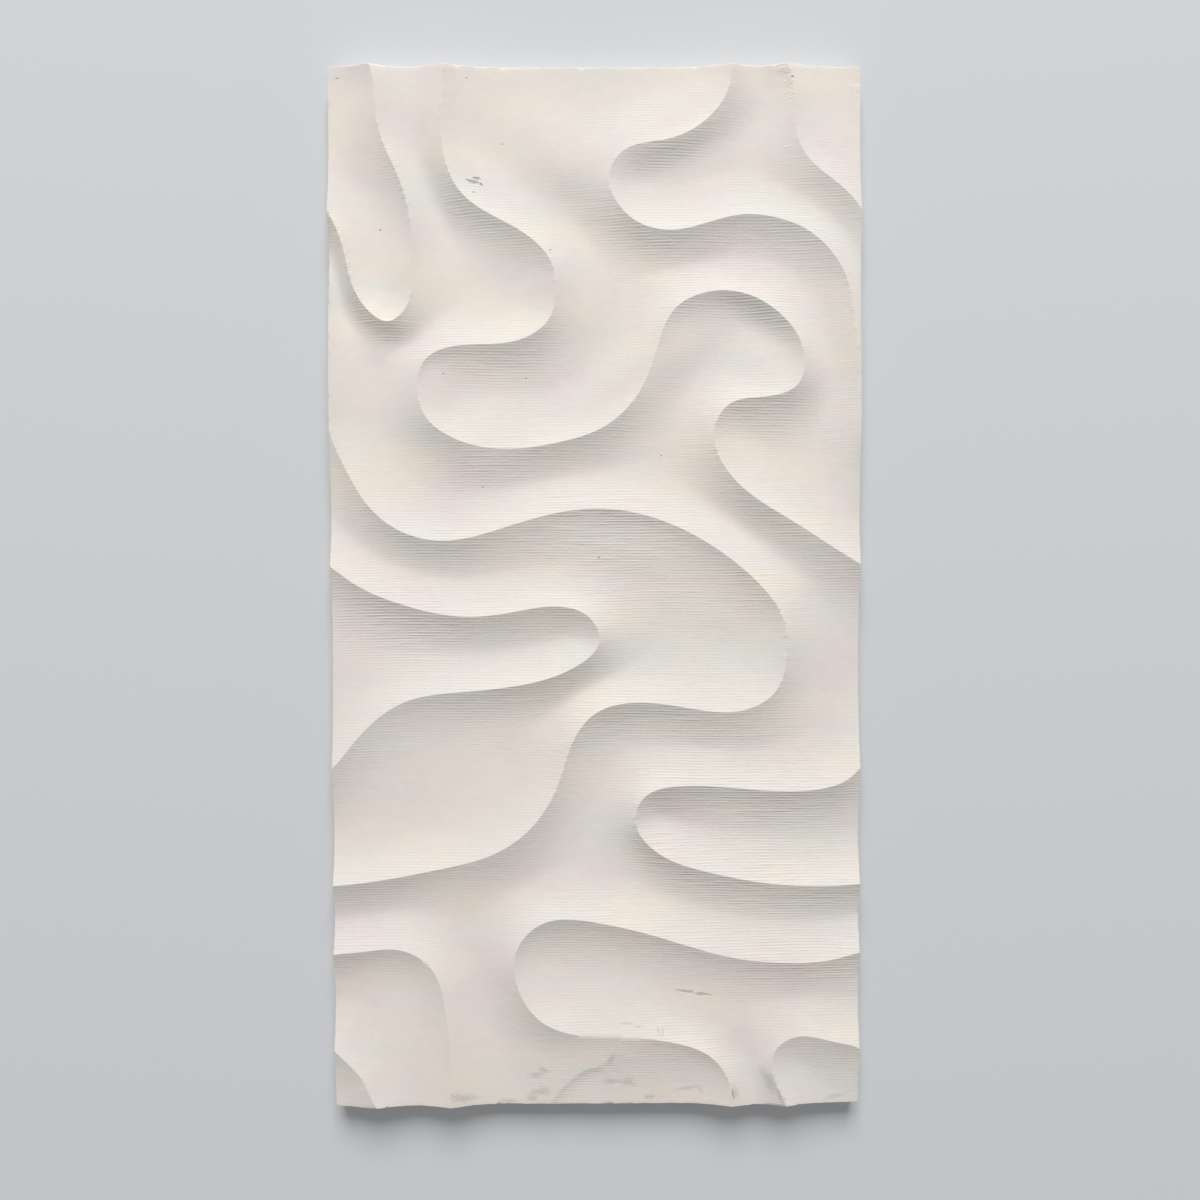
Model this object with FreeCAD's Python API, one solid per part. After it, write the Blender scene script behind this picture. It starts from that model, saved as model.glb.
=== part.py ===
import FreeCAD, Part
import math
import os

# Carved stone wall tile with a wave relief, built in millimetres.
# It lies flat: X is the short side, Y the long side, Z points out of the carved face.
# The back face is on z = 0 and the middle of the back face is at x = 0, y = 0.

# Overall size of the tile.
tile_width = 305.0
tile_length = 600.0
tile_thickness = 20.0

# The relief. Every crest is sharp and reaches the face of the slab that the tile is carved from.
# From there the sides fall off steeply and run out into a gently dished floor.
relief_depth = 6.5
slope_run = 19.0

# The wave drawing repeats after this width and this length.
# One repeat fills one tile, so the crests run on into the tile beside it.
pattern_width = 305.0
pattern_length = 600.0

# Spacing of the points that carry the carved surface, and of the points along a crest.
surface_step = 12.5
crest_step = 2.0

# The wave drawing is set out on a grid of cells, counted from its middle.
cells_across = 60
cells_along = 120
cell_x = pattern_width / cells_across
cell_y = pattern_length / cells_along

# Sides and ends of the drawing, and where the crests cross them.
# A crossing has the same place on both opposite sides.
west = -cells_across / 2
east = cells_across / 2
south = -cells_along / 2
north = cells_along / 2
side_1, side_2, side_3, side_4, side_5, side_6, side_7 = 43.4, 22.4, 3, -20.4, -33.9, -41.9, -53.2
end_1, end_2, end_3, end_4 = -25.2, -16.8, 15.4, 21.6

# The crest lines, each from one border of the drawing to another.
finger_top_left = [
    (end_1, north), (-24.4, 54.3), (-23.6, 51), (-22, 47.3), (-20.5, 40), (-20.6, 36.7),
    (-21.1, 32.7), (-23.2, 30.9), (-25.4, 32.1), (-27.4, 35.7), (-28.2, 39.2), (west, side_1),
]

long_top = [
    (end_2, north), (-17.2, 52.8), (-16.7, 49), (-15, 45.5), (-10.6, 42.4), (-6.6, 39.8),
    (-4.8, 37.3), (-4.4, 34.7), (-5.2, 31.1), (-8.8, 28.7), (-14.6, 28.2), (-19.2, 26.4), (-20, 23.6),
    (-18.9, 19.8), (-16.7, 18), (-10.8, 16.4), (-4.2, 17.1), (1, 18.9), (5.1, 23.1), (7, 28),
    (9, 32.3), (12.4, 34.1), (17.4, 33.8), (21.4, 31.1), (23.4, 27.6), (22.9, 23.8), (19.4, 22.3),
    (14.9, 21.3), (13.4, 18.5), (14.2, 14.9), (17.3, 11.3), (22.3, 8), (27.5, 4.6),
    (east, side_3),
]

notch_top = [
    (end_3, north), (14.9, 56.9), (12.8, 53.9), (8, 51.4), (3.2, 50.1), (1.6, 47.3), (2.8, 43.9),
    (5.4, 41.8), (8.8, 41.2), (12.6, 42), (16.4, 42.9), (20.2, 42.6), (23.8, 41.2), (26.8, 38.4),
    (28.2, 35.9), (29, 32.1), (29.6, 27.6), (east, side_2),
]

corner_top_right = [
    (end_4, north), (22.4, 55.7), (22.8, 51.4), (24.4, 48.8), (27.2, 46.5), (east, side_1),
]

long_left = [
    (west, side_2), (-29.8, 18.3), (-28.1, 14.1), (-25.7, 10), (-22.2, 7.1), (-17, 5.9),
    (-11.2, 7.1), (-5, 8.9), (1, 9.5), (7.6, 8.1), (13.5, 5), (18.4, 0.9), (21.1, -3),
    (21.6, -7.3), (20.2, -11.7), (16.2, -13.8), (10.8, -13.5), (4.4, -12.8), (-0.2, -14.1),
    (-2.8, -17.6), (-4.2, -21.8), (-6.7, -26.4), (-10.9, -29.9), (-17.8, -32), (-25.4, -33.4),
    (west, side_5),
]

finger_left = [
    (west, side_3), (-27.3, 1), (-22.2, -1.3), (-15.4, -2.8), (-9.8, -2.4), (-4.2, -1.7),
    (-0.6, -3.1), (0.4, -5.7), (-1.8, -8.3), (-7.4, -10.5), (-15.2, -11.5), (-21.8, -12.7),
    (-26.2, -15.9), (west, side_4),
]

finger_right = [
    (east, side_4), (28.6, -21.7), (24.2, -23), (16.6, -22.8), (9.2, -22.5), (5.4, -23.8),
    (4.4, -26.4), (6.8, -30.1), (12, -32.3), (18.8, -33.7), (27, -34.1), (east, side_5),
]

long_bottom = [
    (east, side_6), (27.4, -42.6), (21.4, -43.1), (15.2, -42.4), (7, -40), (-0.6, -38.2),
    (-6.4, -38.5), (-9.2, -41.7), (-9, -46), (-6.3, -49.9), (-1, -51.6), (4.2, -51.8), (8.8, -52.4),
    (13, -54.1), (14.9, -56.7), (end_3, south),
]

corner_bottom_left_big = [
    (west, side_6), (-27, -41.6), (-22.4, -41.4), (-18.8, -43.7), (-17.4, -47.7), (-16.8, -53.2),
    (end_2, south),
]

corner_bottom_left = [
    (west, side_7), (-28.4, -54.7), (-26.9, -56.4), (-25.8, -58.8), (end_1, south),
]

corner_bottom_right = [
    (east, side_7), (27.2, -52.4), (23.4, -51.7), (20.5, -53.1), (20, -55.9), (end_4, south),
]

crests = [
    finger_top_left, long_top, notch_top, corner_top_right, long_left, finger_left,
    finger_right, long_bottom, corner_bottom_left_big, corner_bottom_left, corner_bottom_right,
]


def run_on(end):
    # The next two points of the crest line past this end of a crest, in the next repeat.
    for other in crests:
        for line in (other, other[::-1]):
            shift_x = end[0] - line[0][0]
            shift_y = end[1] - line[0][1]
            if (abs(shift_x), abs(shift_y)) in ((cells_across, 0), (0, cells_along)):
                return [(x + shift_x, y + shift_y) for x, y in line[1:3]]
    return []


# Each crest is a smooth curve that starts and ends in the direction of its neighbours.
# It is laid out nine times, once for the tile itself and once for every tile around it.
rounding = 1e-6
crest_lines = []
steps = []
for crest in crests:
    before = run_on(crest[0])[::-1]
    after = run_on(crest[-1])
    for shift_x in (-pattern_width, 0.0, pattern_width):
        for shift_y in (-pattern_length, 0.0, pattern_length):
            line = Part.BSplineCurve()
            line.interpolate([
                FreeCAD.Vector(x * cell_x + shift_x, y * cell_y + shift_y, tile_thickness)
                for x, y in before + crest + after
            ])
            knots = line.getKnots()
            line.segment(knots[len(before)], knots[-1 - len(after)])
            crest_lines.append(line)
            places = line.discretize(Number=int(line.length() / crest_step) + 2)
            flat = [(rounding * round(p.x / rounding), rounding * round(p.y / rounding)) for p in places]
            steps.extend(zip(flat[:-1], flat[1:]))

# The steps are sorted into square fields, so that a place only looks at those near it.
field_size = 50.0
fields = {}
for start, end in steps:
    key = (math.floor(start[0] / field_size), math.floor(start[1] / field_size))
    fields.setdefault(key, []).append((start, end))


def crest_distance(x, y):
    # Distance to the nearest crest, or the size of a field where none is near.
    nearest = field_size * field_size
    column = math.floor(x / field_size)
    row = math.floor(y / field_size)
    for i in (column - 1, column, column + 1):
        for j in (row - 1, row, row + 1):
            for (ax, ay), (bx, by) in fields.get((i, j), ()):
                ux = bx - ax
                uy = by - ay
                along = ((x - ax) * ux + (y - ay) * uy) / (ux * ux + uy * uy)
                along = min(1.0, max(0.0, along))
                gap_x = x - ax - along * ux
                gap_y = y - ay - along * uy
                nearest = min(nearest, gap_x * gap_x + gap_y * gap_y)
    return math.sqrt(nearest)


def crossings(level, across):
    # Places where the crests cross the straight line at this level of X (0) or Y (1).
    found = []
    other = 1 - across
    for start, end in steps:
        if (start[across] <= level) != (end[across] <= level):
            along = (level - start[across]) / (end[across] - start[across])
            found.append(start[other] + along * (end[other] - start[other]))
    return found


# The carved surface is worked out on a net of points that reaches a little past the tile.
side_x = tile_width / 2
end_y = tile_length / 2
margin = 2
columns = int(round(tile_width / surface_step)) + 1 + 2 * margin
rows = int(round(tile_length / surface_step)) + 1 + 2 * margin
step_x = tile_width / (columns - 1 - 2 * margin)
step_y = tile_length / (rows - 1 - 2 * margin)
net_x = [(i - margin) * step_x - side_x for i in range(columns)]
net_y = [(j - margin) * step_y - end_y for j in range(rows)]

# Neighbouring valleys carry opposite signs, and the sign turns over at every crest.
# A hair keeps the tested lines off the rounded crest places.
hair = rounding / 2
first_column = crossings(net_x[0] + hair, 0)


def valley_signs(places_x, y):
    # Signs of the valleys at these places along one row.
    row = crossings(y + hair, 1)
    before = sum(1 for place in first_column if place < y + hair)
    before -= sum(1 for place in row if place < net_x[0] + hair)
    return [1 - 2 * ((before + sum(1 for place in row if place < x + hair)) % 2) for x in places_x]


# The surface swings up or down from the level of the crests, by the sign of the valley.
distance = [[crest_distance(x, y) for x in net_x] for y in net_y]
swing = []
for y, row in zip(net_y, distance):
    depths = [relief_depth * math.tanh(gap / slope_run) for gap in row]
    swing.append([sign * depth for sign, depth in zip(valley_signs(net_x, y), depths)])

# The floors are evened out away from the crests, so that no ridge stands along their middle.
even_full = 20.0
even_rounds = 1
for turn in range(even_rounds):
    last = [list(row) for row in swing]
    for j in range(1, rows - 1):
        for i in range(1, columns - 1):
            part = min(1.0, distance[j][i] / even_full)
            around = (last[j][i - 1] + last[j][i + 1] + last[j - 1][i] + last[j + 1][i]) / 4
            swing[j][i] += part * (around - last[j][i])


def sheet(sign):
    # One smooth sheet over the tile, which dips below the crests in every second valley.
    heights = [[tile_thickness - sign * swing[j][i] for j in range(rows)] for i in range(columns)]
    surface = Part.BSplineSurface()
    surface.interpolate(heights, net_x[0], step_x, net_y[0], step_y)
    return surface


# The net is trued up until the sheet passes through the crests at their own level.
# Each crest point hands its error to the four net points around it, the nearest most.
true_rounds = 3
in_net = [
    place for place, end in steps
    if net_x[0] < place[0] < net_x[-1] and net_y[0] < place[1] < net_y[-1]
]
for turn in range(true_rounds):
    surface = sheet(-1)
    errors = {}
    for x, y in in_net:
        error = surface.value(x, y).z - tile_thickness
        i = int((x - net_x[0]) / step_x)
        j = int((y - net_y[0]) / step_y)
        a = (x - net_x[i]) / step_x
        b = (y - net_y[j]) / step_y
        corner_shares = {
            (i, j): (1 - a) * (1 - b),
            (i + 1, j): a * (1 - b),
            (i, j + 1): (1 - a) * b,
            (i + 1, j + 1): a * b,
        }
        whole = sum(share * share for share in corner_shares.values())
        for corner, share in corner_shares.items():
            errors.setdefault(corner, []).append((error * share / whole, share))
    for (i, j), found in errors.items():
        weight = sum(share for error, share in found)
        if weight > 0:
            swing[j][i] -= sum(error * share for error, share in found) / weight
sheets = {1: sheet(1), -1: sheet(-1)}

# The crests divide the face of the slab into valleys.
# Points nearer than this are taken as one point, and an edge may lie this far off its face.
same_point = 1e-6
seam_fit = 0.1
corners = [(-side_x, -end_y), (side_x, -end_y), (side_x, end_y), (-side_x, end_y)]
slab_corners = [FreeCAD.Vector(x, y, tile_thickness) for x, y in corners]
slab_face = Part.Face(Part.makePolygon(slab_corners + slab_corners[:1]))
crest_edges = [line.toShape() for line in crest_lines]
crest_edges = [edge for edge in crest_edges if edge.BoundBox.intersect(slab_face.BoundBox)]
divided = slab_face.generalFuse(crest_edges)[0]


def border_edge(surface, start, end):
    # The edge of the carved face along a side of the tile, from one crest to the next.
    count = max(2, int((end - start).Length / surface_step * 4))
    places = []
    for k in range(count + 1):
        place = start + (end - start) * (k / count)
        on_corner = abs(abs(place.x) - side_x) + abs(abs(place.y) - end_y) < same_point
        if 0 < k < count or on_corner:
            place.z = surface.value(place.x, place.y).z
        places.append(place)
    curve = Part.BSplineCurve()
    curve.interpolate(places)
    return curve.toShape()


# Each valley is the part of a sheet inside its crests and its stretch of the tile's border.
skin = []
borders = []
for region in divided.Faces:
    points, triangles = region.tessellate(crest_step)
    widest = max(
        triangles,
        key=lambda t: (points[t[1]] - points[t[0]]).cross(points[t[2]] - points[t[0]]).Length,
    )
    inside = (points[widest[0]] + points[widest[1]] + points[widest[2]]) / 3
    surface = sheets[valley_signs([inside.x], inside.y)[0]]
    edges = []
    for edge in region.OuterWire.Edges:
        if isinstance(edge.Curve, Part.Line):
            edge = border_edge(surface, edge.Vertexes[0].Point, edge.Vertexes[-1].Point)
            borders.append(edge)
        edges.append(edge)
    valley = Part.Face(surface, Part.Wire(Part.__sortEdges__(edges)))
    valley.fix(same_point, same_point, seam_fit)
    skin.append(valley)

# Four sawn sides and the flat back close the tile.
back_corners = [FreeCAD.Vector(x, y, 0) for x, y in corners]
for low, next_low in zip(back_corners, back_corners[1:] + back_corners[:1]):
    outward = (next_low - low).cross(FreeCAD.Vector(0, 0, 1)).normalize()
    top = [e for e in borders if all(abs((v.Point - low).dot(outward)) < same_point for v in e.Vertexes)]
    top_ends = [v.Point for e in top for v in e.Vertexes]
    wire = top + [Part.makeLine(low, next_low)]
    for foot in (low, next_low):
        high = min(top_ends, key=lambda p: (p.x - foot.x) ** 2 + (p.y - foot.y) ** 2)
        wire.append(Part.makeLine(foot, high))
    skin.append(Part.Face(Part.Wire(Part.__sortEdges__(wire))))
skin.append(Part.Face(Part.makePolygon(back_corners + back_corners[:1])))

shell = Part.Shell(skin)
shell.sewShape()
tile = Part.Solid(shell)
if tile.Volume < 0:
    tile.reverse()

os.makedirs("parts", exist_ok=True)
tile.exportStep("parts/panel_tile.step")
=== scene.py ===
import math

import bmesh
import bpy
import numpy as np
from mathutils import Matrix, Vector, kdtree, noise


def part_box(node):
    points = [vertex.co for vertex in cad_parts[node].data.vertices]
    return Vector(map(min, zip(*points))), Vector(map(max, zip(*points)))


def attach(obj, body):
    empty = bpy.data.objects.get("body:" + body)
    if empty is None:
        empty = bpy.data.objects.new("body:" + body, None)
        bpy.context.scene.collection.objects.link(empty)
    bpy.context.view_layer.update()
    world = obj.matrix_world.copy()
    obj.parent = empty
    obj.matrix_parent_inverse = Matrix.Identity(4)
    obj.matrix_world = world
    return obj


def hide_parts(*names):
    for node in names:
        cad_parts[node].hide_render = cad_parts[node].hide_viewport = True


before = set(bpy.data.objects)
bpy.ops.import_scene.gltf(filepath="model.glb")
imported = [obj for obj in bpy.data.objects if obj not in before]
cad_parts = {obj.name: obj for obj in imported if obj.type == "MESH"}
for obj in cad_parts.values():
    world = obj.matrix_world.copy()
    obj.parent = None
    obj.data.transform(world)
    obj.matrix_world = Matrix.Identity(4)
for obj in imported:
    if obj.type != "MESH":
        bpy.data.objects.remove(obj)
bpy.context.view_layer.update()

bpy.context.scene.view_settings.view_transform = "Standard"

# The carved face: the upper side of a slab of pale limestone, cut by a ball-nosed cutter into
# winding valleys. They meet in sharp crests that lie in the slab's own face and run on into the
# next tile. The crests are read off the solid, and the rest follows from the distance to them.
mm = 0.001  # the sizes of the tile and of its finish are in mm
slab_low, slab_high = (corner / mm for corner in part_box("panel_tile"))
slab_size = slab_high - slab_low
relief_depth = 6.5
slope_run = 17.0
cell = 1.5
crest_sample = 0.2
top_tolerance = 0.02
same_point = 0.001


def crest_chains(solid_node):
    # The crests as chains of points: the edges of the solid with both ends in its top face.
    # A flat triangle between three crest points spans a bend, and its longest side is no crest.
    solid = bmesh.new()
    solid.from_mesh(solid_node.data)
    bmesh.ops.remove_doubles(solid, verts=solid.verts, dist=same_point * mm)
    on_top = {v for v in solid.verts if v.co.z / mm > slab_high.z - top_tolerance}
    crest_edges = {e for e in solid.edges if on_top.issuperset(e.verts)}
    for face in solid.faces:
        if on_top.issuperset(face.verts):
            crest_edges.discard(max(face.edges, key=lambda e: e.calc_length()))
    beside = {}
    for edge in crest_edges:
        for v in edge.verts:
            beside.setdefault(v, []).append(edge.other_vert(v))
    chains = []
    done = set()
    for start in sorted((v for v in beside if len(beside[v]) == 1), key=lambda v: v.index):
        if start in done:
            continue
        chain = [start]
        while True:
            done.add(chain[-1])
            onward = [v for v in beside[chain[-1]] if v not in done]
            if not onward:
                break
            chain.append(onward[0])
        chains.append(np.array([(v.co.x / mm, v.co.y / mm) for v in chain]))
    solid.free()
    return chains


def smooth_line(points, spacing):
    # A smooth line through the points, sampled evenly.
    before = points[0] + (points[0] - points[1])
    after = points[-1] + (points[-1] - points[-2])
    p = np.vstack([before, points, after])
    line = []
    for k in range(1, len(p) - 2):
        count = max(2, int(np.linalg.norm(p[k + 1] - p[k]) / spacing))
        t = (np.arange(count) / count)[:, None]
        gaps = np.sqrt(np.linalg.norm(np.diff(p[k - 1:k + 3], axis=0), axis=1))
        slope_in = (p[k] - p[k - 1]) / gaps[0] - (p[k + 1] - p[k - 1]) / (gaps[0] + gaps[1])
        slope_in = (slope_in + (p[k + 1] - p[k]) / gaps[1]) * gaps[1]
        slope_out = (p[k + 1] - p[k]) / gaps[1] - (p[k + 2] - p[k]) / (gaps[1] + gaps[2])
        slope_out = (slope_out + (p[k + 2] - p[k + 1]) / gaps[2]) * gaps[1]
        line.append(
            (2 * t**3 - 3 * t**2 + 1) * p[k] + (t**3 - 2 * t**2 + t) * slope_in
            + (3 * t**2 - 2 * t**3) * p[k + 1] + (t**3 - t**2) * slope_out
        )
    return np.vstack(line + [points[-1:]])


def run_past(line, length):
    # The line, carried on straight past both its ends.
    lead = line[0] + (line[0] - line[1]) / np.linalg.norm(line[0] - line[1]) * length
    trail = line[-1] + (line[-1] - line[-2]) / np.linalg.norm(line[-1] - line[-2]) * length
    return np.vstack([lead, line, trail])


crest_lines = [
    run_past(smooth_line(chain, crest_sample), cell / 2)
    for chain in crest_chains(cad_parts["panel_tile"])
]

# A stray pass near the bottom end has left a faint crease, with the floor dished on its lower right.
crease = smooth_line(np.array([
    (-29.0, -300.4), (-26.6, -297.4), (-21.9, -291.5), (-16.0, -285.6), (-10.2, -280.5),
    (-4.3, -277.8), (1.5, -276.3), (5.6, -272.1), (8.5, -266.9),
]), crest_sample)

# The net that the face is laid out on, corner to corner.
columns = round(slab_size.x / cell) + 1
rows = round(slab_size.y / cell) + 1
pitch = np.array([slab_size.x / (columns - 1), slab_size.y / (rows - 1)])
corner = np.array(slab_low)[:2]
across, along = np.meshgrid(np.arange(columns), np.arange(rows))
places = np.stack([across, along], axis=-1) * pitch + corner

# Where a crest crosses a line of the net, the nearest point of that line moves onto the crest.
followed = np.zeros((rows, columns), bool)
on_crest = np.zeros((rows, columns), bool)
shift = np.zeros((rows, columns, 2))
reach = np.full((rows, columns), np.inf)
for line in crest_lines + [crease]:
    steps = (line - corner) / pitch
    whole = np.floor(steps).astype(int)
    for k, axis in np.argwhere(whole[1:] != whole[:-1]):
        level = max(whole[k, axis], whole[k + 1, axis])
        part = (level - steps[k, axis]) / (steps[k + 1, axis] - steps[k, axis])
        other = steps[k, 1 - axis] + part * (steps[k + 1, 1 - axis] - steps[k, 1 - axis])
        nearest = int(round(other))
        i, j = (level, nearest) if axis == 0 else (nearest, level)
        if not (0 <= i < columns and 0 <= j < rows):
            continue
        if (axis == 1 and i in (0, columns - 1)) or (axis == 0 and j in (0, rows - 1)):
            continue
        away = abs(other - nearest)
        if away < reach[j, i]:
            reach[j, i] = away
            shift[j, i] = 0
            shift[j, i, 1 - axis] = (other - nearest) * pitch[1 - axis]
            followed[j, i] = True
            on_crest[j, i] = line is not crease
places += shift

# The depth under the crests' level: steep beside a crest, running out into a gently dished floor.
# The drawing repeats, so the crests of the tiles around this one count as well.
samples = np.vstack([
    line + np.array([repeat_x * slab_size.x, repeat_y * slab_size.y])
    for line in crest_lines for repeat_x in (-1, 0, 1) for repeat_y in (-1, 0, 1)
])
margin = 3 * slope_run  # further off, a crest no longer counts
samples = samples[np.all(abs(samples) < np.array(slab_size)[:2] / 2 + margin, axis=1)]
crest_tree = kdtree.KDTree(len(samples))
for index, (x, y) in enumerate(samples):
    crest_tree.insert((x, y, 0), index)
crest_tree.balance()
gap = np.array([crest_tree.find((x, y, 0))[2] for x, y in places.reshape(-1, 2)])
gap = gap.reshape(rows, columns)
gap[on_crest] = 0
depth = relief_depth * np.tanh(gap / slope_run)


def evened(values, turns):
    # Each point moves to the middle of its neighbours. The drawing repeats, so the ends wrap round.
    for _ in range(turns):
        wide = np.pad(values[:-1, :-1], 1, mode="wrap")
        middle = (wide[:-2, 1:-1] + wide[2:, 1:-1] + wide[1:-1, :-2] + wide[1:-1, 2:]) / 4
        middle = np.pad(middle, ((0, 1), (0, 1)), mode="wrap")
        values = (values + middle) / 2
    return values


even_from, even_full = 3.0, 12.0
even_turns = 16
share = np.clip((gap - even_from) / (even_full - even_from), 0, 1)
share = share * share * (3 - 2 * share)
depth += share * (evened(depth, even_turns) - depth)

# The cutter went a little deeper in some places and less deep in others, as hand work does.
# Each place has its X and Y, its length and width, its turn in degrees, and the share that it adds.
uneven_places = (
    (36, 264, 36, 16, 27, -0.35), (49, 252, 41, 11, 25, 0.25), (119, 246, 28, 30, 0, -0.30),
    (-12, 245, 37, 20, 150, -0.50), (-67, 236, 32, 11, 143, -0.25), (-94, 225, 28, 31, 21, 0.50),
    (2, 210, 35, 27, 0, 0.25), (97, 156, 38, 13, 144, 0.45), (-127, 153, 37, 10, 152, 0.30),
    (99, 131, 25, 15, 161, -0.25), (29, 129, 50, 14, 34, -0.35), (-89, 120, 19, 14, 70, -0.35),
    (-60, 86, 21, 23, 0, -0.35), (131, 45, 38, 34, 0, -0.20), (92, 34, 34, 20, 139, 0.30),
    (3, 28, 60, 19, 172, -0.30), (69, -31, 30, 14, 172, 0.10), (136, -47, 37, 44, 0, 0.15),
    (92, -71, 38, 31, 163, -0.25), (-121, -75, 44, 47, 0, -0.20), (-15, -79, 31, 52, 12, 0.25),
    (28, -142, 23, 25, 13, 0.40), (-66, -145, 23, 58, 146, -0.20), (95, -251, 60, 60, 0, -0.30),
    (69, -267, 40, 14, 147, 0.30), (1, -271, 32, 44, 143, -0.45), (-122, -275, 33, 60, 169, -0.30),
    (-147, 190, 34, 12, 108, 1.00),
)
added = np.zeros((rows, columns))
for x, y, length, width, turn, share_added in uneven_places:
    ahead_x, ahead_y = math.cos(math.radians(turn)), math.sin(math.radians(turn))
    off_x, off_y = places[..., 0] - x, places[..., 1] - y
    along_it = (off_x * ahead_x + off_y * ahead_y) / length
    across_it = (off_y * ahead_x - off_x * ahead_y) / width
    added += share_added * np.exp(-along_it**2 - across_it**2)
depth *= 1 + added

# The stray pass: steepest beside its crease, and fading towards both ends of it.
crease_slope = 0.30
crease_reach = 9.0
fade_at_start, fade_at_end = 4.0, 16.0
crease_tree = kdtree.KDTree(len(crease))
for index, (x, y) in enumerate(crease):
    crease_tree.insert((x, y, 0), index)
crease_tree.balance()
near_crease = np.all(abs(places - crease.mean(axis=0)) < 5 * crease_reach, axis=-1)
for j, i in np.argwhere(near_crease):
    x, y = places[j, i]
    nearest, index, away = crease_tree.find((x, y, 0))
    index = min(index, len(crease) - 2)
    ahead = crease[index + 1] - crease[index]
    if ahead[0] * (y - nearest.y) - ahead[1] * (x - nearest.x) < 0:
        from_start = np.linalg.norm(crease[index] - crease[0])
        from_end = np.linalg.norm(crease[index] - crease[-1])
        fade = min(1.0, (from_start + 1) / fade_at_start, from_end / fade_at_end)
        depth[j, i] += fade * crease_slope * away * math.exp(-away / crease_reach)
face_points = np.dstack([places, slab_high.z - depth]).reshape(-1, 3)

# The sawn corners: one has worn round in handling, the others are only a little blunt.
for end_x, end_y, radius in ((-1, 1, 3.0), (1, 1, 0.9), (-1, -1, 1.2), (1, -1, 1.4)):
    centre = np.array([end_x * (slab_high.x - radius), end_y * (slab_high.y - radius)])
    out = (face_points[:, :2] - centre) * (end_x, end_y)
    near = np.all(out > 0, axis=1)
    square = out[near].max(axis=1) / np.linalg.norm(out[near], axis=1)
    face_points[near, :2] = centre + out[near] * square[:, None] * (end_x, end_y)

# The face itself: a flat grid, pulled to shape, its cells split where a crest runs across them.
bpy.ops.object.select_all(action="DESELECT")
bpy.ops.mesh.primitive_grid_add(x_subdivisions=columns - 1, y_subdivisions=rows - 1)
tile = bpy.context.object
tile.name = "carved_tile"
mesh = tile.data
mesh.name = "carved_tile"
mesh.vertices.foreach_set("co", (face_points * mm).ravel())
mesh.vertices.foreach_set("select", followed.ravel())
mesh.edges.foreach_set("select", np.zeros(len(mesh.edges), bool))
mesh.polygons.foreach_set("select", np.zeros(len(mesh.polygons), bool))
bpy.ops.object.mode_set(mode="EDIT")
bpy.ops.mesh.vert_connect()

# The sides and the back: the same stone, sawn square and flat. The arris round the face has worn
# round and lost small chips in handling, and the one round the back is a little blunt.
# The border of the face is carried down the sides in rings and closed by the back.
bpy.ops.mesh.select_all(action="SELECT")
bpy.ops.mesh.region_to_loop()
bpy.ops.mesh.extrude_region_move()
bpy.ops.object.mode_set(mode="OBJECT")
corner_reach = 3.0
least_arris, most_arris = 0.05, 1.2
arris_drop = 0.9
arris_lip = 0.2
side_foot = 0.6


def wear(point, size, seed):
    # Smooth noise from -1 to 1 along the outline.
    return noise.noise(Vector((point.x / size, point.y / size, seed)))


def inward(point):
    # The direction from a point of the outline straight into the tile.
    core_x = max(slab_low.x + corner_reach, min(slab_high.x - corner_reach, point.x))
    core_y = max(slab_low.y + corner_reach, min(slab_high.y - corner_reach, point.y))
    return (Vector((core_x, core_y, point.z)) - point).normalized()


def arris_size(point):
    # How far the worn arris reaches in over the face: a quarter of a mm, uneven over lengths of
    # 9 and 2.6 mm, and more at a chip here and there. The two ends have rubbed the most.
    size = 0.25 + 0.15 * wear(point, 9.0, 1.0) + 0.12 * wear(point, 2.6, 3.0)
    size += 1.3 * max(0.0, wear(point, 5.0, 5.0) - 0.3)
    end_share = abs(inward(point).y)
    return max(least_arris, min(most_arris, size * (1 + 0.6 * end_share)))


def at_arris_foot(point):
    return Vector((point.x, point.y, point.z - arris_drop * arris_size(point) - 0.1))


def at_half_height(point):
    return Vector((point.x, point.y, slab_low.z + slab_size.z / 2))


def above_back(point):
    return Vector((point.x, point.y, slab_low.z + side_foot))


def at_back(point):
    blunt = 0.4 + 0.2 * wear(point, 6.0, 9.0)
    return point + inward(point) * blunt + Vector((0, 0, slab_low.z - point.z))


def move_selected(to_place):
    for vertex in mesh.vertices:
        if vertex.select:
            vertex.co = to_place(vertex.co / mm) * mm


on_border = (across == 0) | (across == columns - 1) | (along == 0) | (along == rows - 1)
for index in np.flatnonzero(on_border):
    point = mesh.vertices[index].co / mm
    rubbed = arris_size(point)
    lowered = Vector((0, 0, arris_lip * rubbed))
    mesh.vertices[index].co = (point + inward(point) * rubbed - lowered) * mm
move_selected(at_arris_foot)
for to_place in (at_half_height, above_back, at_back):
    bpy.ops.object.mode_set(mode="EDIT")
    bpy.ops.mesh.extrude_region_move()
    bpy.ops.object.mode_set(mode="OBJECT")
    move_selected(to_place)
bpy.ops.object.mode_set(mode="EDIT")
bpy.ops.mesh.edge_face_add()
bpy.ops.mesh.select_all(action="SELECT")
bpy.ops.mesh.normals_make_consistent(inside=False)
bpy.ops.object.mode_set(mode="OBJECT")
bpy.ops.object.shade_smooth_by_angle(angle=math.radians(28))

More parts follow.
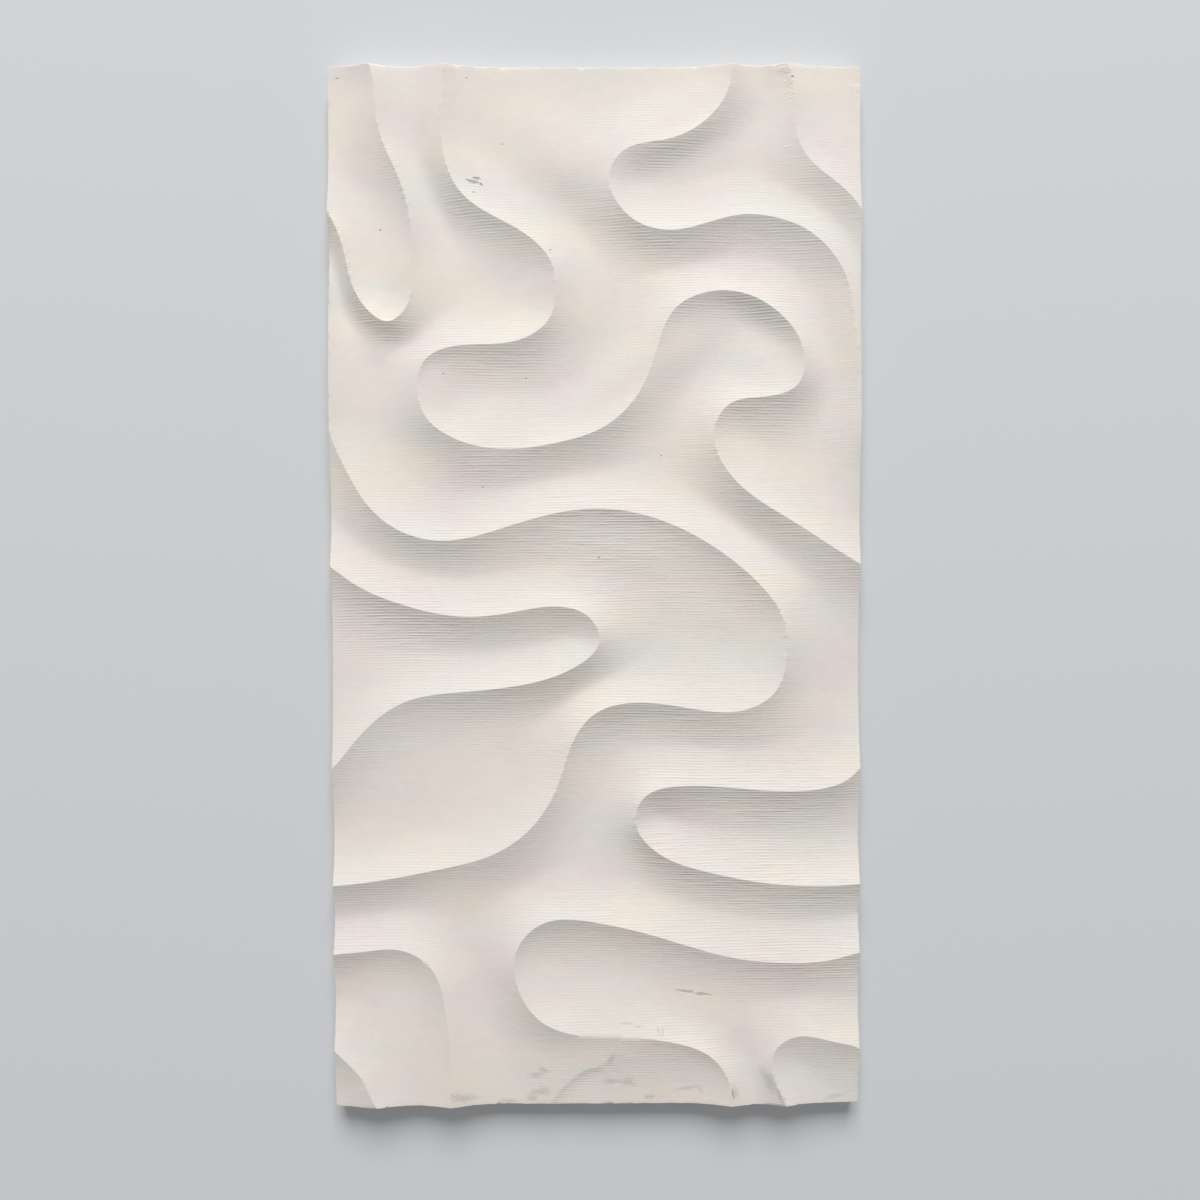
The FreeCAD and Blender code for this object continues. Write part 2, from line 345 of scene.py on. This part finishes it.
# What the finish has to know of the shape, kept on the points: where the face is carved, how steeply
# it faces the two ends, and where the cutter has left its lines.
lie = np.pad(depth, ((1, 1), (0, 0)), mode="edge")
fall = np.maximum(abs(lie[1:-1] - lie[:-2]), abs(lie[2:] - lie[1:-1])) / pitch[1]
steep = np.clip(fall / (relief_depth / slope_run), 0, 1)
smooth_x, smooth_y, smooth_reach, smooth_share = -90, -262, 75, 0.75
from_smooth = np.hypot(places[..., 0] - smooth_x, places[..., 1] - smooth_y)
rubbed_smooth = smooth_share * np.exp(-(from_smooth / smooth_reach) ** 2)
line_strength = (0.05 + 0.95 * steep**1.3) * (1 - rubbed_smooth)

# Some places have deeper lines, on their floors as well, and others fainter ones.
# Each place has its X and Y, how far it reaches along X and along Y, and what it adds.
lined_places = (
    (86, -138, 51, 60, 0.82), (44, 16, 75, 36, 1.26), (-118, -23, 44, 22, 0.98),
    (70, 183, 75, 50, 0.27), (-31, -81, 75, 20, 0.43), (-76, 65, 28, 16, 0.65),
    (-13, -287, 31, 25, 0.35), (-9, -208, 20, 17, 0.55), (69, 24, 36, 28, -1.01),
    (-114, 199, 75, 60, -0.20), (86, 90, 55, 18, 0.42), (150, -229, 75, 60, 0.28),
    (-92, -140, 60, 18, -0.24), (-57, 126, 35, 14, 0.41), (142, 112, 18, 38, 0.30),
)
for x, y, reach_x, reach_y, strength in lined_places:
    off_x, off_y = (places[..., 0] - x) / reach_x, (places[..., 1] - y) / reach_y
    line_strength += strength * np.exp(-off_x**2 - off_y**2)
line_strength = np.maximum(line_strength, 0)
others = np.zeros(len(mesh.vertices) - rows * columns)
kept = {
    "carved": np.ones((rows, columns)), "steepness": steep, "line_depth": line_strength,
}
for name, values in kept.items():
    attribute = mesh.attributes.new(name, "FLOAT", "POINT")
    attribute.data.foreach_set("value", np.concatenate([values.ravel(), others]).astype(np.float32))

# The stone: natural pale limestone, left matt from the cutter on its face and from the saw elsewhere.
# It gives a warm off-white with faint pinkish, buff and cool clouds, small pores and fine tool
# lines. All its patterns are laid out in mm, so a length of 15 mm is written as 1 / 15.


def linear(colour):
    # An sRGB hex colour as linear red, green, blue and alpha.
    parts = [int(colour[k:k + 2], 16) / 255 for k in (1, 3, 5)]
    return [p / 12.92 if p <= 0.04045 else ((p + 0.055) / 1.055) ** 2.4 for p in parts] + [1.0]


def add(kind, inputs=None, give=0, **settings):
    # Adds one node to the stone with its settings and links, and gives one of its outputs.
    made = stone.node_tree.nodes.new("ShaderNode" + kind)
    for name, value in settings.items():
        setattr(made, name, value)
    for name, value in (inputs or {}).items():
        if isinstance(value, bpy.types.NodeSocket):
            stone.node_tree.links.new(value, made.inputs[name])
        else:
            made.inputs[name].default_value = value
    return made.outputs[give]


stone = bpy.data.materials.new("limestone_cut_matt")
stone.use_nodes = True
shader = stone.node_tree.nodes["Principled BSDF"]
shader.inputs["Roughness"].default_value = 0.88
object_place = add("TexCoord", give="Object")
place = add("VectorMath", {0: object_place, "Scale": 1 / mm}, operation="SCALE")
carved = add("Attribute", attribute_name="carved", give="Fac")
line_depth = add("Attribute", attribute_name="line_depth", give="Fac")

# The cutter's passes: level lines across the tile, broken into short strokes, deepest on the slopes.
pass_pitch = 1.63
wave_scale = 2 * math.pi / 20 / pass_pitch
wander = add("VectorMath", {0: place, 1: (1 / 60, 1 / 40, 1 / 60)}, operation="MULTIPLY")
wander = add("TexNoise", {"Vector": wander, "Scale": 1.0, "Detail": 1.0}, give="Color")
wander = add("VectorMath", {0: wander, 1: (0, 2.2, 0), 2: place}, operation="MULTIPLY_ADD")
passes = add(
    "TexWave", {"Vector": wander, "Scale": wave_scale, "Distortion": 0.0, "Detail": 0.0}, give="Fac",
    wave_type="BANDS", bands_direction="Y", wave_profile="SIN",
)
stroke = add("VectorMath", {0: wander, 1: (1 / 15, 1 / 1.7, 1 / 20)}, operation="MULTIPLY")
stroke = add("TexNoise", {"Vector": stroke, "Scale": 1.0, "Detail": 1.0})
stroke = add(
    "MapRange", {"Value": stroke, "From Min": 0.35, "From Max": 0.65, "To Min": 0.3, "To Max": 1.5},
)
streak = add("VectorMath", {0: wander, 1: (1 / 22, 1 / 3.0, 1 / 20)}, operation="MULTIPLY")
streak = add("TexNoise", {"Vector": streak, "Scale": 1.0, "Detail": 2.0})
lines = add("Math", {0: passes, 1: stroke}, operation="MULTIPLY")
lines = add("Math", {0: streak, 1: 2.6, 2: lines}, operation="MULTIPLY_ADD")
patches = add("VectorMath", {0: place, 1: (1 / 50, 1 / 35, 1 / 50)}, operation="MULTIPLY")
patches = add("TexNoise", {"Vector": patches, "Scale": 1.0, "Detail": 2.0})
patches = add(
    "MapRange", {"Value": patches, "From Min": 0.35, "From Max": 0.6, "To Min": 0.6, "To Max": 1.2},
)
lines_mm = add("Math", {0: line_depth, 1: patches}, operation="MULTIPLY")
lines_mm = add("Math", {0: lines_mm, 1: 0.072}, operation="MULTIPLY")
height_mm = add("Math", {0: lines, 1: lines_mm}, operation="MULTIPLY")

# The stone's own grain, torn a little rougher by the cutter on the slopes.
grain_fine = add("VectorMath", {0: place, 1: (1 / 0.9, 1 / 0.9, 1 / 0.9)}, operation="MULTIPLY")
grain_fine = add("TexNoise", {"Vector": grain_fine, "Scale": 1.0, "Detail": 2.0})
grain_depth = add("MapRange", {"Value": line_depth, "To Min": 0.02, "To Max": 0.14})
height_mm = add("Math", {0: grain_fine, 1: grain_depth, 2: height_mm}, operation="MULTIPLY_ADD")
grain_coarse = add("VectorMath", {0: place, 1: (1 / 4, 1 / 4, 1 / 4)}, operation="MULTIPLY")
grain_coarse = add("TexNoise", {"Vector": grain_coarse, "Scale": 1.0, "Detail": 2.0})
height_mm = add("Math", {0: grain_coarse, 1: 0.10, 2: height_mm}, operation="MULTIPLY_ADD")

# The sides and the back: shallow arcs left by a large disc saw, and a grain that it has torn rougher.
sawn = add("Math", {0: 1.0, 1: carved}, operation="SUBTRACT")
saw_pitch = 2.4
saw = add("VectorMath", {0: place, 1: (900, 1300, 400)}, operation="ADD")
saw = add(
    "TexWave", {"Vector": saw, "Scale": 2 * math.pi / 20 / saw_pitch, "Distortion": 0.0, "Detail": 0.0},
    give="Fac", wave_type="RINGS", rings_direction="SPHERICAL", wave_profile="SIN",
)
saw_bite = add("VectorMath", {0: place, 1: (1 / 35, 1 / 35, 1 / 35)}, operation="MULTIPLY")
saw_bite = add("TexNoise", {"Vector": saw_bite, "Scale": 1.0, "Detail": 3.0})
saw_bite = add("MapRange", {"Value": saw_bite, "From Min": 0.35, "From Max": 0.7, "To Max": 0.12})
saw = add("Math", {0: saw, 1: saw_bite}, operation="MULTIPLY")
saw = add("Math", {0: grain_fine, 1: 0.18, 2: saw}, operation="MULTIPLY_ADD")
height_mm = add("Math", {0: saw, 1: sawn, 2: height_mm}, operation="MULTIPLY_ADD")

# Natural pores: tiny dark dots, scattered about a dozen millimetres apart.
# Their darkening is painted shade in the holes.
scatter = add("VectorMath", {0: place, 1: (1 / 13, 1 / 13, 1 / 13)}, operation="MULTIPLY")
scatter = add("TexVoronoi", {"Vector": scatter, "Scale": 1.0}, give="Distance")
pore_size = add("SeparateColor", {0: scatter.node.outputs["Color"]})
pore_size = add("MapRange", {"Value": pore_size, "From Min": 0.3, "To Max": 0.055})
tiny_pores_and_shade = add(
    "MapRange", {"Value": scatter, "From Min": pore_size, "From Max": 0.0},
    interpolation_type="SMOOTHSTEP",
)

# Colour: cream floors, and on the slopes a paler and more neutral tint that is painted light, standing
# in for the colour of the light on the walls. Long faint clouds run across the tile, some cool and some
# buff, and a few pinkish ones.
cream, slope_light_tint = linear("#E3DAD4"), linear("#DEDAD3")
cool, buff, pink = linear("#DDDAD3"), linear("#E5DCD1"), linear("#E0D5D1")
# The steeper the face, the more of the painted light tint it takes.
slope_light_share = add("Attribute", attribute_name="steepness", give="Fac")
colour = add("Mix", {0: slope_light_share, 6: cream, 7: slope_light_tint}, data_type="RGBA", give=2)
for cloud, size, apart, least, most, share in (
    (buff, (1 / 80, 1 / 26, 1 / 60), (40, 0, 0), 0.42, 0.66, 1.0),
    (cool, (1 / 95, 1 / 30, 1 / 60), (310, 150, 70), 0.46, 0.68, 1.0),
    (pink, (1 / 60, 1 / 36, 1 / 60), (150, 610, 20), 0.5, 0.7, 0.8),
):
    spread = add("VectorMath", {0: place, 1: apart}, operation="ADD")
    spread = add("VectorMath", {0: spread, 1: size}, operation="MULTIPLY")
    spread = add("TexNoise", {"Vector": spread, "Scale": 1.0, "Detail": 2.0})
    spread = add(
        "MapRange", {"Value": spread, "From Min": least, "From Max": most, "To Max": share},
        interpolation_type="SMOOTHSTEP",
    )
    colour = add("Mix", {0: spread, 6: colour, 7: cloud}, data_type="RGBA", give=2)
speck = add("VectorMath", {0: place, 1: (1 / 1.1, 1 / 1.1, 1 / 1.1)}, operation="MULTIPLY")
speck = add("TexNoise", {"Vector": speck, "Scale": 1.0, "Detail": 2.0})
mottle = add("VectorMath", {0: place, 1: (1 / 7, 1 / 7, 1 / 7)}, operation="MULTIPLY")
mottle = add("TexNoise", {"Vector": mottle, "Scale": 1.0, "Detail": 2.0})
tone = add("Math", {0: speck, 1: 0.07, 2: 0.928}, operation="MULTIPLY_ADD")
tone = add("Math", {0: mottle, 1: 0.06, 2: tone}, operation="MULTIPLY_ADD")
# The tiny pores are darkened with painted shade, and sunk a little.
tone = add("Math", {0: tiny_pores_and_shade, 1: -0.13, 2: tone}, operation="MULTIPLY_ADD")
height_mm = add("Math", {0: tiny_pores_and_shade, 1: -0.15, 2: height_mm}, operation="MULTIPLY_ADD")

# Marks of handling and storage, each at its own place: X, Y, length and width in mm, and turn.
# Small ones have crumbled outlines, and rubbed-in dirt has softer and wider ones, as has one painted
# shadow at the end of the crease.
crumbled = add("VectorMath", {0: place, 1: (1 / 1.3, 1 / 1.3, 1 / 1.3)}, operation="MULTIPLY")
crumbled = add("TexNoise", {"Vector": crumbled, "Scale": 1.0, "Detail": 1.0}, give="Color")
crumbled = add("VectorMath", {0: crumbled, 1: (-0.5, -0.5, -0.5)}, operation="ADD")
crumbled = add("VectorMath", {0: crumbled, 1: (1.4, 1.4, 0), 2: place}, operation="MULTIPLY_ADD")
wiped = add("VectorMath", {0: place, 1: (1 / 4, 1 / 3, 1 / 4)}, operation="MULTIPLY")
wiped = add("TexNoise", {"Vector": wiped, "Scale": 1.0, "Detail": 2.0}, give="Color")
wiped = add("VectorMath", {0: wiped, 1: (-0.5, -0.5, -0.5)}, operation="ADD")
wiped = add("VectorMath", {0: wiped, 1: (7, 5, 0), 2: place}, operation="MULTIPLY_ADD")


def marks(where, ovals, rim, core):
    # The share of the marks at each place: nothing outside the ovals' rims, all of it in their cores.
    # Each gradient is 1 in the middle of its oval and falls to 0 at its rim.
    strongest = 0.0
    for x, y, length, width, turn in ovals:
        inside = add(
            "Mapping",
            {"Vector": where, "Location": (x, y, 0), "Rotation": (0, 0, math.radians(turn)),
             "Scale": (rim * length / 2, rim * width / 2, 1 / mm)},
            vector_type="TEXTURE",
        )
        inside = add("TexGradient", {"Vector": inside}, give="Fac", gradient_type="SPHERICAL")
        strongest = add("Math", {0: inside, 1: strongest}, operation="MAXIMUM")
    share = add(
        "MapRange", {"Value": strongest, "From Max": 1 - core / rim},
        interpolation_type="SMOOTHSTEP",
    )
    return add("Math", {0: share, 1: carved}, operation="MULTIPLY")


# The pits and pores are sunk, and darkened with painted shade in them.
pits_and_shade = marks(place, ((-122.9, 207.4, 1.1, 1.1, 0), (112.6, 291.9, 1.8, 1.6, 0)), 1.3, 0.3)
pores_and_shade = marks(place, (
    (-72.8, 292.8, 1.0, 0.9, 0), (-25.3, 194.7, 1.1, 1.4, 0), (-86.9, 124.8, 0.9, 1.6, 0),
    (-39.7, 122.4, 1.2, 0.9, 0), (1.7, 19.0, 1.1, 1.9, 0), (-53.0, 256.0, 1.1, 1.0, 0),
    (-147.0, 293.0, 2.0, 0.9, 20), (38.0, 78.0, 0.9, 1.2, 0), (-65.0, 60.0, 1.0, 1.0, 0),
), 1.4, 0.3)
# Chips: a cluster by the top left and one near the bottom edge, sunk, and darkened with painted shade
# in them.
chips_and_shade = marks(crumbled, (
    (-68.8, 233.6, 6.6, 2.2, -8), (-67.4, 235.9, 4.6, 2.1, -10), (-70.8, 233.9, 3.0, 2.6, -50),
    (-64.8, 232.6, 2.8, 1.6, -40), (-72.6, 235.4, 2.0, 0.7, 0), (-68.8, 227.8, 1.4, 0.9, 0),
    (78.8, -292.6, 1.2, 7.0, 12),
), 1.3, 0.3)
# Flakes: partly pale flaked stone, partly painted highlights where a small ledge and the lower wall of
# the chip catch the light.
flakes_and_highlights = marks(crumbled, (
    (-95.1, 96.5, 5.7, 0.9, 0), (-68.6, 226.6, 1.5, 1.3, 0), (-67.7, 231.9, 2.9, 0.9, 0),
    (110.0, 284.2, 4.6, 0.8, 8), (113.9, 282.9, 4.6, 0.8, -10), (111.1, 280.8, 5.2, 0.7, 10),
    (110.3, 253.4, 4.6, 0.9, 10), (150.6, 283.2, 2.0, 1.4, 0),
), 1.3, 0.3)
scratches = marks(crumbled, (
    (50.7, -233.5, 11.0, 1.6, -7), (54.2, -234.0, 4.6, 2.2, -5),
    (62.1, -235.3, 10.0, 1.8, -6), (59.5, -235.3, 4.6, 2.4, -8),
), 1.4, 0.2)
smears = marks(wiped, (
    (-77.6, -294.9, 17, 4, 0), (-82.7, -292.9, 5, 4, 0), (-52.3, -298.1, 10, 3, 0),
    (-35.3, -282.6, 10, 3.6, 0), (-31.2, -279.4, 7, 3, -20), (-33.6, -292.5, 14, 5, 10),
    (-37.7, -296.0, 6, 3, 0), (9.7, -285.8, 13, 3.4, 0), (17.9, -286.5, 9, 6, 0),
    (29.6, -295.6, 6, 3.4, 0), (100.2, -284.8, 16, 7, -62), (106.0, -292.9, 13, 3.5, -58),
), 1.5, 0.0)
# Touches of dirt, and at the end of the crease a painted shadow where the crease fades out.
touches_and_crease_shadow = marks(place, (
    (23.7, -252.7, 4.6, 1.8, 0), (35.6, -255.5, 1.6, 5.7, 8), (37.9, -256.1, 1.6, 5.7, -8),
    (53.0, -290.5, 16, 2.4, 10), (60.2, -291.4, 5.4, 1.6, -50), (138.9, -296.1, 12.6, 3, 12),
    (8.0, -272.6, 4, 8, -20), (16.7, -251.1, 8, 1.4, 0), (80.3, -291.2, 3.6, 9.0, 15),
), 1.5, 0.0)
torn = marks(wiped, (
    (107.2, 296.6, 8.6, 4.2, 0), (110.5, 290.3, 4.0, 7.0, 0), (149.0, 287.7, 6, 8, 30),
), 1.4, 0.1)

# How deep each kind is, in mm, and how much it darkens or lightens the stone. The darkening of the
# pits, pores and chips is painted shade in their hollows, and part of the lightening of the flakes is
# painted highlight where a small ledge and the lower wall of the chip catch the light.
for share, raised, lighter in (
    (pits_and_shade, -0.5, -0.34), (pores_and_shade, -0.35, -0.16), (chips_and_shade, -0.45, -0.33), (flakes_and_highlights, 0.12, 0.07),
    (scratches, -0.25, -0.25),
):
    height_mm = add("Math", {0: share, 1: raised, 2: height_mm}, operation="MULTIPLY_ADD")
    tone = add("Math", {0: share, 1: lighter, 2: tone}, operation="MULTIPLY_ADD")
torn_grain = add("Math", {0: torn, 1: grain_fine}, operation="MULTIPLY")
height_mm = add("Math", {0: torn_grain, 1: 0.35, 2: height_mm}, operation="MULTIPLY_ADD")
tone = add("CombineXYZ", {0: tone, 1: tone, 2: tone})
colour = add("VectorMath", {0: colour, 1: tone}, operation="MULTIPLY")
# A greyish dirt colour for the smears and touches, which at the end of the crease is a painted shadow.
dirt_and_shadow = linear("#B2ADA3")
for share, most in ((smears, 0.52), (touches_and_crease_shadow, 0.42)):
    dirt_and_shadow_share = add("Math", {0: share, 1: most}, operation="MULTIPLY")
    colour = add("Mix", {0: dirt_and_shadow_share, 6: colour, 7: dirt_and_shadow}, data_type="RGBA", give=2)

stone.node_tree.links.new(colour, shader.inputs["Base Color"])
normal = add("Bump", {"Strength": 1.0, "Distance": mm, "Height": height_mm})
stone.node_tree.links.new(normal, shader.inputs["Normal"])
tile.data.materials.append(stone)
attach(tile, "root")
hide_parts("panel_tile")

# The floor: a wide plain sheet of board, painted a pale cool grey, that the tile lies on.
# The paint is matt, so it takes the tile's shadow and gives no reflection.
bpy.ops.object.select_all(action="DESELECT")
floor_size = 24.0  # in metres, as the sizes of the lamp are
bpy.ops.mesh.primitive_plane_add(size=floor_size, location=(0, 0, 0))
floor = bpy.context.object
floor.name = "floor"
board = bpy.data.materials.new("painted_board_matt")
board.use_nodes = True
board.node_tree.nodes["Principled BSDF"].inputs["Base Color"].default_value = linear("#CDD0D3")
board.node_tree.nodes["Principled BSDF"].inputs["Roughness"].default_value = 0.9
floor.data.materials.append(board)

# The light: one broad soft lamp high beyond the tile's top end, and an even sky all round.
# Together they light a level white surface as white, so a colour renders about as it is written.
sky_share = 0.34
lamp_distance = 6.0
lamp_width = 3.0
lamp_lean = math.radians(52)
world = bpy.data.worlds.new("studio")
bpy.context.scene.world = world
world.use_nodes = True
world.node_tree.nodes["Background"].inputs["Color"].default_value = (1, 1, 1, 1)
world.node_tree.nodes["Background"].inputs["Strength"].default_value = sky_share
lamp_data = bpy.data.lights.new("soft_lamp", "AREA")
lamp_data.shape = "SQUARE"
lamp_data.size = lamp_width
lamp_data.energy = math.pi * (1 - sky_share) * math.pi * lamp_distance**2 / math.cos(lamp_lean)
lamp = bpy.data.objects.new("soft_lamp", lamp_data)
bpy.context.collection.objects.link(lamp)
lamp.location = (0, lamp_distance * math.sin(lamp_lean), lamp_distance * math.cos(lamp_lean))
lamp.rotation_euler = (-lamp_lean, 0, 0)

# The camera: above the tile and nearly square on to it, at the photograph's distance and angle.
# In a frame of 1200 by 1200, 1 mm of the tile is about 1.8 pixels.
camera_data = bpy.data.cameras.new("camera")
camera_data.lens = 34.99
camera_data.sensor_width = 36.0
camera = bpy.data.objects.new("camera", camera_data)
bpy.context.collection.objects.link(camera)
camera.location = Vector((-1.50, 13.32, 689.0)) * mm
camera.rotation_euler = (-0.0270, -0.0058, -0.0030)
bpy.context.scene.camera = camera
